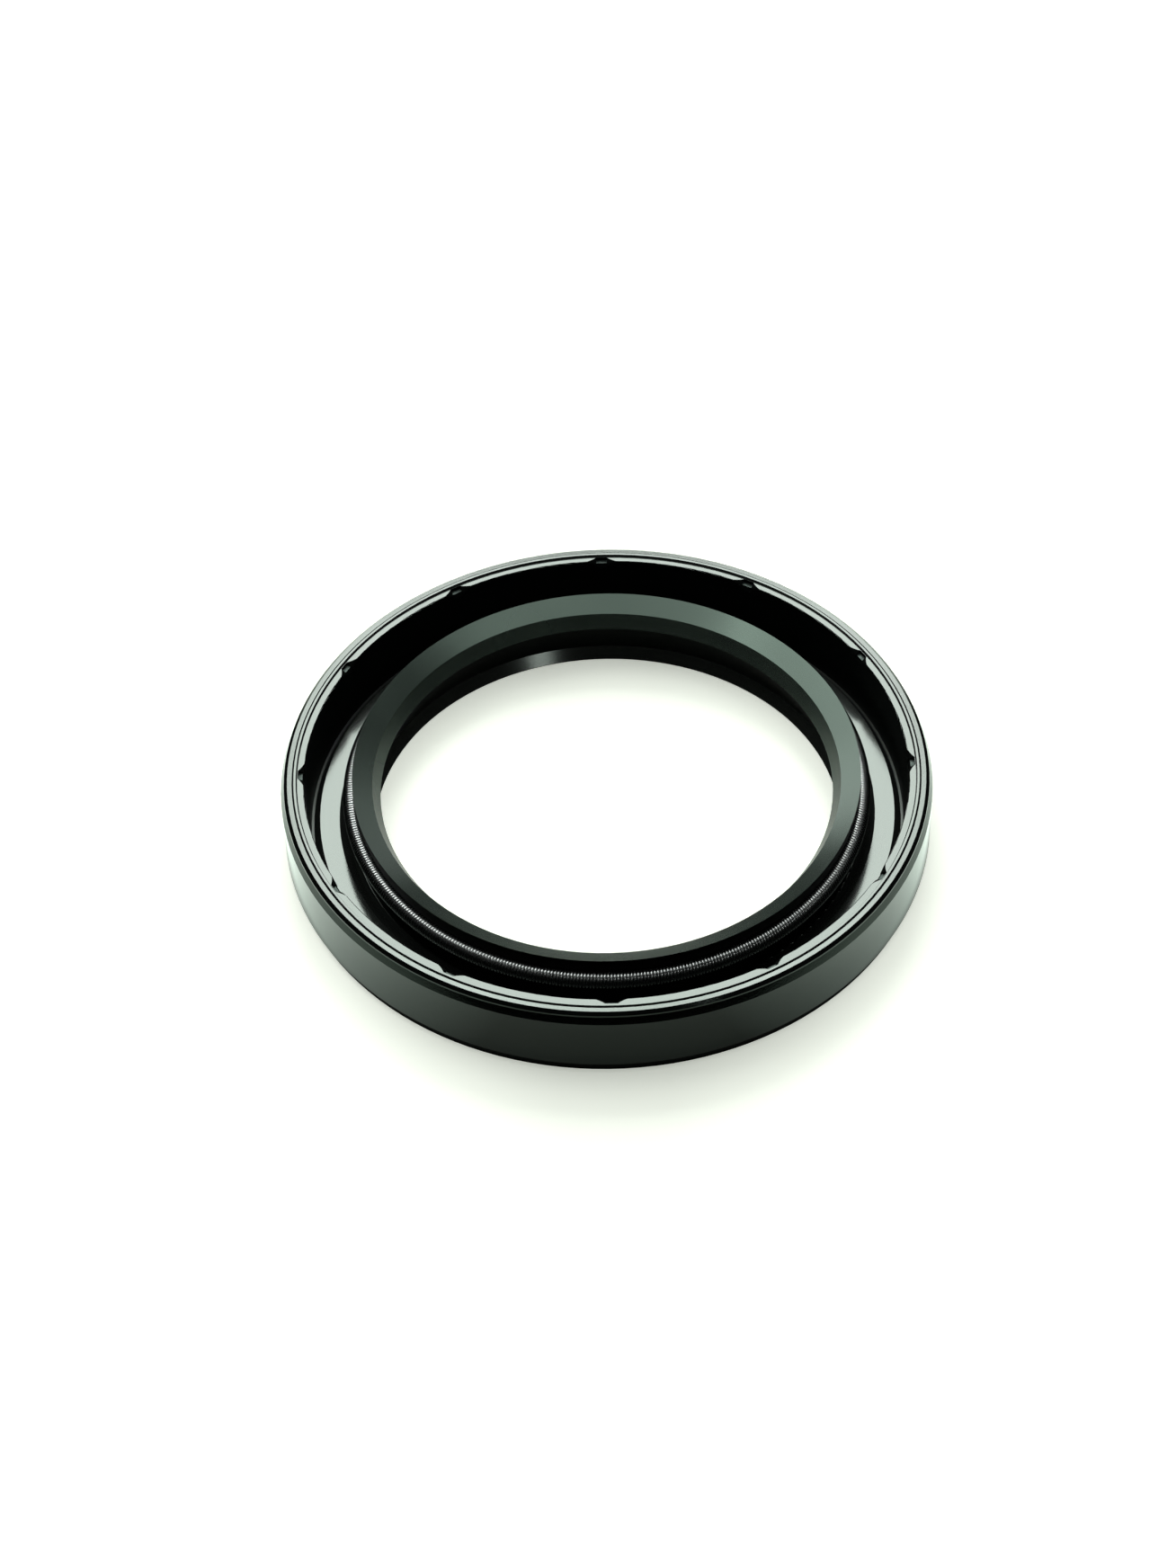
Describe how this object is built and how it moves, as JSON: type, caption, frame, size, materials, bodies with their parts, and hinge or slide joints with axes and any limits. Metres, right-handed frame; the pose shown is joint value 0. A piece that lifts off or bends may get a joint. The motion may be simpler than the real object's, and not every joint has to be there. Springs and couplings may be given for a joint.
{
  "type": "radial shaft seal",
  "caption": "Rubber-covered rotary shaft seal ring with a spring-loaded sealing lip, a dust lip and an embedded steel insert.",
  "frame": {"origin": "on the seal's axis, in the plane of the air-side face that it lies on", "axes": "+Z along the shaft axis, from the air side to the spring side; one of the twelve rim notches is centred on -Y"},
  "size_m": [0.0624, 0.0624, 0.008],
  "materials": {
    "seal_rubber": "smooth moulded black rubber, satin to glossy",
    "insert_steel": "phosphated sheet steel",
    "spring_steel": "bright drawn wire"
  },
  "bodies": {
    "root": {"rubber_body": "seal_rubber", "steel_insert": "insert_steel", "garter_spring": "spring_steel"}
  },
  "joints": []
}
